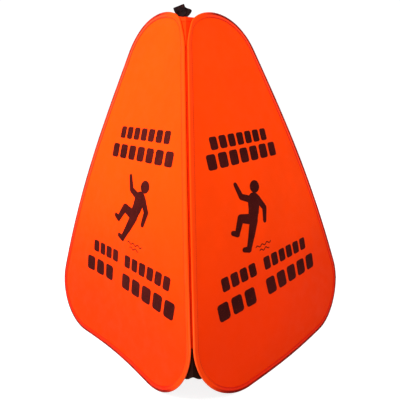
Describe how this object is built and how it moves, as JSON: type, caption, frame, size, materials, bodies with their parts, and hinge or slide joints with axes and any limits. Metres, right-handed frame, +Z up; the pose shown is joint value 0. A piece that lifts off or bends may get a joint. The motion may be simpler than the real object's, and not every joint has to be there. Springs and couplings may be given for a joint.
{
  "type": "wet floor sign",
  "caption": "Free-standing pop-up floor warning cone of hooped orange fabric panels that fold at their corner seams, with corner gussets and a webbing hang loop.",
  "frame": {"origin": "on the floor, on the cone's vertical axis", "axes": "+Z up; the front corner seam lies toward -Y, so the two front panels face -X -Y and +X -Y"},
  "size_m": [0.7746, 0.7746, 0.8003],
  "materials": {
    "panel_fabric": "plain-weave nylon, orange",
    "hem_fabric": "folded orange hem, lockstitched",
    "seam_tape": "narrow red-orange joining tape",
    "black_web": "black coated nylon",
    "webbing": "black woven webbing",
    "spring_steel": "drawn round spring wire",
    "ferrule": "crimped tube"
  },
  "bodies": {
    "front_left": {"front_left_fabric": "panel_fabric", "front_left_hem": "hem_fabric", "front_left_hoop": "spring_steel", "front_left_ferrule": "ferrule", "front_left_lower_web_front": "black_web", "front_left_lower_web_left": "black_web", "front_left_seam_tape_front": "seam_tape", "front_left_seam_tape_left": "seam_tape", "front_left_upper_web_front": "panel_fabric", "front_left_upper_web_left": "panel_fabric", "hang_loop_tail": "webbing"},
    "front_right": {"front_right_fabric": "panel_fabric", "front_right_hem": "hem_fabric", "front_right_hoop": "spring_steel", "front_right_ferrule": "ferrule", "front_right_lower_web_right": "black_web", "front_right_lower_web_front": "black_web", "front_right_seam_tape_right": "seam_tape", "front_right_seam_tape_front": "seam_tape", "front_right_upper_web_right": "panel_fabric", "front_right_upper_web_front": "panel_fabric"},
    "rear_right": {"rear_right_fabric": "panel_fabric", "rear_right_hem": "hem_fabric", "rear_right_hoop": "spring_steel", "rear_right_ferrule": "ferrule", "rear_right_lower_web_rear": "black_web", "rear_right_lower_web_right": "black_web", "rear_right_seam_tape_rear": "seam_tape", "rear_right_seam_tape_right": "seam_tape", "rear_right_upper_web_rear": "panel_fabric", "rear_right_upper_web_right": "panel_fabric"},
    "rear_left": {"rear_left_fabric": "panel_fabric", "rear_left_hem": "hem_fabric", "rear_left_hoop": "spring_steel", "rear_left_ferrule": "ferrule", "rear_left_lower_web_left": "black_web", "rear_left_lower_web_rear": "black_web", "rear_left_seam_tape_left": "seam_tape", "rear_left_seam_tape_rear": "seam_tape", "rear_left_upper_web_left": "panel_fabric", "rear_left_upper_web_rear": "panel_fabric"},
    "hang_loop": {"hang_loop": "webbing"}
  },
  "joints": [
    {"name": "front_seam_fold", "type": "hinge", "parent": "front_left", "child": "front_right", "pos_m": [0, -0.42144, 0], "axis": [0, 0.3608, 0.9326], "range_deg": [-85, 85], "stiffness_Nm_per_rad": 0.4},
    {"name": "right_seam_fold", "type": "hinge", "parent": "front_right", "child": "rear_right", "pos_m": [0.42144, 0, 0], "axis": [-0.3608, 0, 0.9326], "range_deg": [-85, 85], "stiffness_Nm_per_rad": 0.2},
    {"name": "left_seam_fold", "type": "hinge", "parent": "front_left", "child": "rear_left", "pos_m": [-0.42144, 0, 0], "axis": [0.3608, 0, 0.9326], "range_deg": [-85, 85], "stiffness_Nm_per_rad": 0.2},
    {"name": "hang_loop_flop", "type": "hinge", "parent": "front_left", "child": "hang_loop", "pos_m": [-0.01649, -0.10134, 0.77896], "axis": [0.7071, -0.7071, 0], "range_deg": [-75, 0], "stiffness_Nm_per_rad": 0.002}
  ],
  "couplings": [
    {"joint": "right_seam_fold", "follows": "front_seam_fold", "ratio": -1},
    {"joint": "left_seam_fold", "follows": "front_seam_fold", "ratio": 1}
  ]
}
